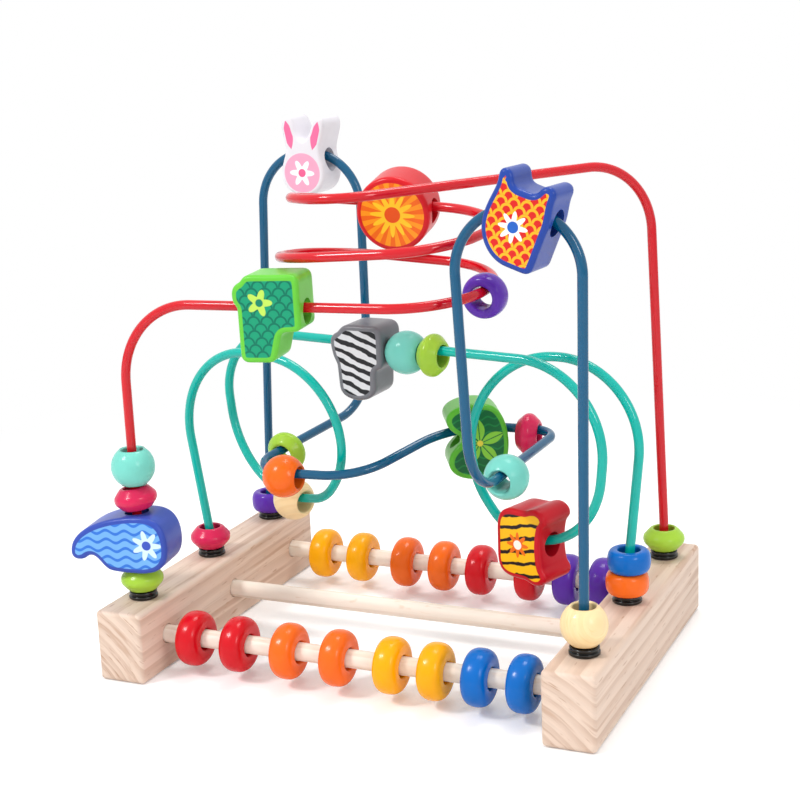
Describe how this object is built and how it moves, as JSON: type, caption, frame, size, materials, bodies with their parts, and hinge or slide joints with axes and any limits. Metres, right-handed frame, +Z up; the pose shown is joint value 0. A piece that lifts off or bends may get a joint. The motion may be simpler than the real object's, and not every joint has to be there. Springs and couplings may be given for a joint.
{
  "type": "wooden bead maze toy",
  "caption": "Standing bead maze: two wooden bars with dowels and abacus beads carry bent coated wires on which round beads and animal-shaped blocks run.",
  "frame": {"origin": "on the floor, under the middle of the whole toy's box", "axes": "+Z up, +X along the dowels towards the right bar, +Y from the front row of wire feet to the rear row"},
  "size_m": [0.3074, 0.205, 0.293],
  "materials": {
    "pine": "bare planed pine",
    "dowel_wood": "bare sanded wood",
    "black_plastic": "gloss",
    "red_coat": "gloss coat",
    "teal_coat": "gloss coat",
    "blue_coat": "gloss coat",
    "red_paint": "gloss paint",
    "orange_paint": "gloss paint",
    "yellow_paint": "gloss paint",
    "blue_paint": "gloss paint",
    "purple_paint": "gloss paint",
    "mint_paint": "gloss paint",
    "magenta_paint": "gloss paint",
    "lime_paint": "gloss paint",
    "cream_paint": "gloss paint",
    "elephant_block_paint": "satin paint",
    "crocodile_block_paint": "satin paint",
    "round_block_paint": "satin paint",
    "zebra_block_paint": "satin paint",
    "tiger_block_paint": "satin paint",
    "rabbit_block_paint": "satin paint",
    "owl_block_paint": "satin paint",
    "green_block_paint": "satin paint"
  },
  "bodies": {
    "frame": {"left_bar": "pine", "right_bar": "pine", "front_dowel": "dowel_wood", "middle_dowel": "dowel_wood", "rear_dowel": "dowel_wood", "left_front_collar": "black_plastic", "left_middle_collar": "black_plastic", "left_rear_collar": "black_plastic", "right_front_collar": "black_plastic", "right_middle_collar": "black_plastic", "right_rear_collar": "black_plastic", "red_wire": "red_coat", "teal_wire": "teal_coat", "blue_wire": "blue_coat"},
    "front_bead_1": {"front_bead_1": "red_paint"},
    "front_bead_2": {"front_bead_2": "red_paint"},
    "front_bead_3": {"front_bead_3": "orange_paint"},
    "front_bead_4": {"front_bead_4": "orange_paint"},
    "front_bead_5": {"front_bead_5": "yellow_paint"},
    "front_bead_6": {"front_bead_6": "yellow_paint"},
    "front_bead_7": {"front_bead_7": "blue_paint"},
    "front_bead_8": {"front_bead_8": "blue_paint"},
    "rear_bead_1": {"rear_bead_1": "yellow_paint"},
    "rear_bead_2": {"rear_bead_2": "yellow_paint"},
    "rear_bead_3": {"rear_bead_3": "orange_paint"},
    "rear_bead_4": {"rear_bead_4": "orange_paint"},
    "rear_bead_5": {"rear_bead_5": "red_paint"},
    "rear_bead_6": {"rear_bead_6": "red_paint"},
    "rear_bead_7": {"rear_bead_7": "purple_paint"},
    "rear_bead_8": {"rear_bead_8": "purple_paint"},
    "post_lime_disc": {"post_lime_disc": "lime_paint"},
    "elephant_block": {"elephant_block": "elephant_block_paint"},
    "post_magenta_disc": {"post_magenta_disc": "magenta_paint"},
    "post_mint_ball": {"post_mint_ball": "mint_paint"},
    "crocodile_block": {"crocodile_block": "crocodile_block_paint"},
    "coil_purple_ring": {"coil_purple_ring": "purple_paint"},
    "round_block": {"round_block": "round_block_paint"},
    "rear_foot_lime_disc": {"rear_foot_lime_disc": "lime_paint"},
    "left_foot_magenta_disc": {"left_foot_magenta_disc": "magenta_paint"},
    "left_loop_cream_ball": {"left_loop_cream_ball": "cream_paint"},
    "zebra_block": {"zebra_block": "zebra_block_paint"},
    "strand_mint_ball": {"strand_mint_ball": "mint_paint"},
    "strand_lime_disc": {"strand_lime_disc": "lime_paint"},
    "tiger_block": {"tiger_block": "tiger_block_paint"},
    "right_foot_orange_ring": {"right_foot_orange_ring": "orange_paint"},
    "right_foot_blue_ring": {"right_foot_blue_ring": "blue_paint"},
    "rear_foot_purple_ring": {"rear_foot_purple_ring": "purple_paint"},
    "rabbit_block": {"rabbit_block": "rabbit_block_paint"},
    "run_lime_disc": {"run_lime_disc": "lime_paint"},
    "run_orange_ball": {"run_orange_ball": "orange_paint"},
    "green_block": {"green_block": "green_block_paint"},
    "run_magenta_disc": {"run_magenta_disc": "magenta_paint"},
    "run_mint_ball": {"run_mint_ball": "mint_paint"},
    "owl_block": {"owl_block": "owl_block_paint"},
    "front_foot_cream_ball": {"front_foot_cream_ball": "cream_paint"}
  },
  "joints": [
    {"name": "front_bead_1_slide", "type": "slide", "parent": "frame", "child": "front_bead_1", "axis": [1, 0, 0], "range_m": [-0.01106, 0.01366]},
    {"name": "front_bead_2_slide", "type": "slide", "parent": "frame", "child": "front_bead_2", "axis": [1, 0, 0], "range_m": [-0.01366, 0.01678]},
    {"name": "front_bead_3_slide", "type": "slide", "parent": "frame", "child": "front_bead_3", "axis": [1, 0, 0], "range_m": [-0.01678, 0.01574]},
    {"name": "front_bead_4_slide", "type": "slide", "parent": "frame", "child": "front_bead_4", "axis": [1, 0, 0], "range_m": [-0.01574, 0.0173]},
    {"name": "front_bead_5_slide", "type": "slide", "parent": "frame", "child": "front_bead_5", "axis": [1, 0, 0], "range_m": [-0.0173, 0.01106]},
    {"name": "front_bead_6_slide", "type": "slide", "parent": "frame", "child": "front_bead_6", "axis": [1, 0, 0], "range_m": [-0.01106, 0.01053]},
    {"name": "front_bead_7_slide", "type": "slide", "parent": "frame", "child": "front_bead_7", "axis": [1, 0, 0], "range_m": [-0.01053, 0.01053]},
    {"name": "front_bead_8_slide", "type": "slide", "parent": "frame", "child": "front_bead_8", "axis": [1, 0, 0], "range_m": [-0.01053, 0.01053]},
    {"name": "rear_bead_1_slide", "type": "slide", "parent": "frame", "child": "rear_bead_1", "axis": [1, 0, 0], "range_m": [-0.01678, 0.0121]},
    {"name": "rear_bead_2_slide", "type": "slide", "parent": "frame", "child": "rear_bead_2", "axis": [1, 0, 0], "range_m": [-0.0121, 0.01626]},
    {"name": "rear_bead_3_slide", "type": "slide", "parent": "frame", "child": "rear_bead_3", "axis": [1, 0, 0], "range_m": [-0.01626, 0.01106]},
    {"name": "rear_bead_4_slide", "type": "slide", "parent": "frame", "child": "rear_bead_4", "axis": [1, 0, 0], "range_m": [-0.01106, 0.01053]},
    {"name": "rear_bead_5_slide", "type": "slide", "parent": "frame", "child": "rear_bead_5", "axis": [1, 0, 0], "range_m": [-0.01053, 0.0173]},
    {"name": "rear_bead_6_slide", "type": "slide", "parent": "frame", "child": "rear_bead_6", "axis": [1, 0, 0], "range_m": [-0.0173, 0.01001]},
    {"name": "rear_bead_7_slide", "type": "slide", "parent": "frame", "child": "rear_bead_7", "axis": [1, 0, 0], "range_m": [-0.01001, 0.00793]},
    {"name": "rear_bead_8_slide", "type": "slide", "parent": "frame", "child": "rear_bead_8", "axis": [1, 0, 0], "range_m": [-0.00793, 0.01522]},
    {"name": "post_lime_disc_spin", "type": "hinge", "parent": "frame", "child": "post_lime_disc", "pos_m": [-0.1163, -0.075, 0.05], "axis": [0, 0, 1], "continuous": true},
    {"name": "elephant_block_spin", "type": "hinge", "parent": "frame", "child": "elephant_block", "pos_m": [-0.1163, -0.075, 0.05], "axis": [0, 0, 1], "continuous": true},
    {"name": "post_magenta_disc_slide", "type": "slide", "parent": "frame", "child": "post_magenta_disc", "axis": [0, 0, 1], "range_m": [0, 0.017]},
    {"name": "post_mint_ball_slide", "type": "slide", "parent": "post_magenta_disc", "child": "post_mint_ball", "axis": [0, 0, 1], "range_m": [0, 0.02]},
    {"name": "crocodile_block_slide", "type": "slide", "parent": "frame", "child": "crocodile_block", "axis": [0.9998, 0, 0.0187], "range_m": [-0.03, 0.036]},
    {"name": "coil_purple_ring_swing", "type": "hinge", "parent": "frame", "child": "coil_purple_ring", "pos_m": [0.0367, -0.03415, 0.21238], "axis": [-0.0186, -0.086, 0.9961], "range_deg": [-50, 8]},
    {"name": "round_block_slide", "type": "slide", "parent": "frame", "child": "round_block", "axis": [-0.9981, 0, 0.0624], "range_m": [-0.005, 0.001]},
    {"name": "rear_foot_lime_disc_slide", "type": "slide", "parent": "frame", "child": "rear_foot_lime_disc", "axis": [-0.0386, 0, 0.9993], "range_m": [0, 0.15]},
    {"name": "left_foot_magenta_disc_slide", "type": "slide", "parent": "frame", "child": "left_foot_magenta_disc", "axis": [-0.1426, 0, 0.9898], "range_m": [0, 0.045]},
    {"name": "left_loop_cream_ball_swing", "type": "hinge", "parent": "frame", "child": "left_loop_cream_ball", "pos_m": [-0.05813, 0.00048, 0.13267], "axis": [0.3412, 0.94, 0.0033], "range_deg": [-3, 50]},
    {"name": "zebra_block_slide", "type": "slide", "parent": "frame", "child": "zebra_block", "axis": [0.9874, -0.158, -0.0079], "range_m": [-0.038, 0]},
    {"name": "strand_mint_ball_spin", "type": "hinge", "parent": "frame", "child": "strand_mint_ball", "pos_m": [0.01683, -0.00066, 0.17002], "axis": [0.9874, -0.158, -0.0079], "continuous": true},
    {"name": "strand_lime_disc_slide", "type": "slide", "parent": "frame", "child": "strand_lime_disc", "axis": [0.9874, -0.158, -0.0079], "range_m": [0, 0.015]},
    {"name": "tiger_block_swing", "type": "hinge", "parent": "frame", "child": "tiger_block", "pos_m": [0.08876, -0.004, 0.11629], "axis": [0.3064, 0.9519, 0.0042], "range_deg": [-18, 1]},
    {"name": "right_foot_orange_ring_slide", "type": "slide", "parent": "frame", "child": "right_foot_orange_ring", "axis": [0.0995, 0, 0.995], "range_m": [0, 0.018]},
    {"name": "right_foot_blue_ring_slide", "type": "slide", "parent": "right_foot_orange_ring", "child": "right_foot_blue_ring", "axis": [0.0995, 0, 0.995], "range_m": [0, 0.02]},
    {"name": "rear_foot_purple_ring_slide", "type": "slide", "parent": "frame", "child": "rear_foot_purple_ring", "axis": [0.0426, 0, 0.9991], "range_m": [0, 0.15]},
    {"name": "rabbit_block_swing", "type": "hinge", "parent": "frame", "child": "rabbit_block", "pos_m": [-0.0753, 0.075, 0.239], "axis": [0, 1, 0], "range_deg": [-25, 40]},
    {"name": "run_lime_disc_slide", "type": "slide", "parent": "frame", "child": "run_lime_disc", "axis": [-0.2487, -0.9594, -0.1332], "range_m": [-0.038, 0.004]},
    {"name": "run_orange_ball_slide", "type": "slide", "parent": "frame", "child": "run_orange_ball", "axis": [0.9926, 0.1203, -0.015], "range_m": [0, 0.012]},
    {"name": "green_block_swing", "type": "hinge", "parent": "frame", "child": "green_block", "pos_m": [0.06004, -0.00942, 0.10597], "axis": [-0.04, 0.2892, -0.9564], "range_deg": [-18, 0]},
    {"name": "run_magenta_disc_slide", "type": "slide", "parent": "frame", "child": "run_magenta_disc", "axis": [0.9964, 0.083, -0.0166], "range_m": [-0.0035, 0]},
    {"name": "run_mint_ball_slide", "type": "slide", "parent": "frame", "child": "run_mint_ball", "axis": [-0.0602, -0.9973, -0.043], "range_m": [-0.038, 0.002]},
    {"name": "owl_block_swing", "type": "hinge", "parent": "frame", "child": "owl_block", "pos_m": [0.10988, -0.075, 0.2285], "axis": [0, 1, 0], "range_deg": [-35, 30]},
    {"name": "front_foot_cream_ball_slide", "type": "slide", "parent": "frame", "child": "front_foot_cream_ball", "axis": [0.01, 0, 0.9999], "range_m": [0, 0.11]}
  ]
}
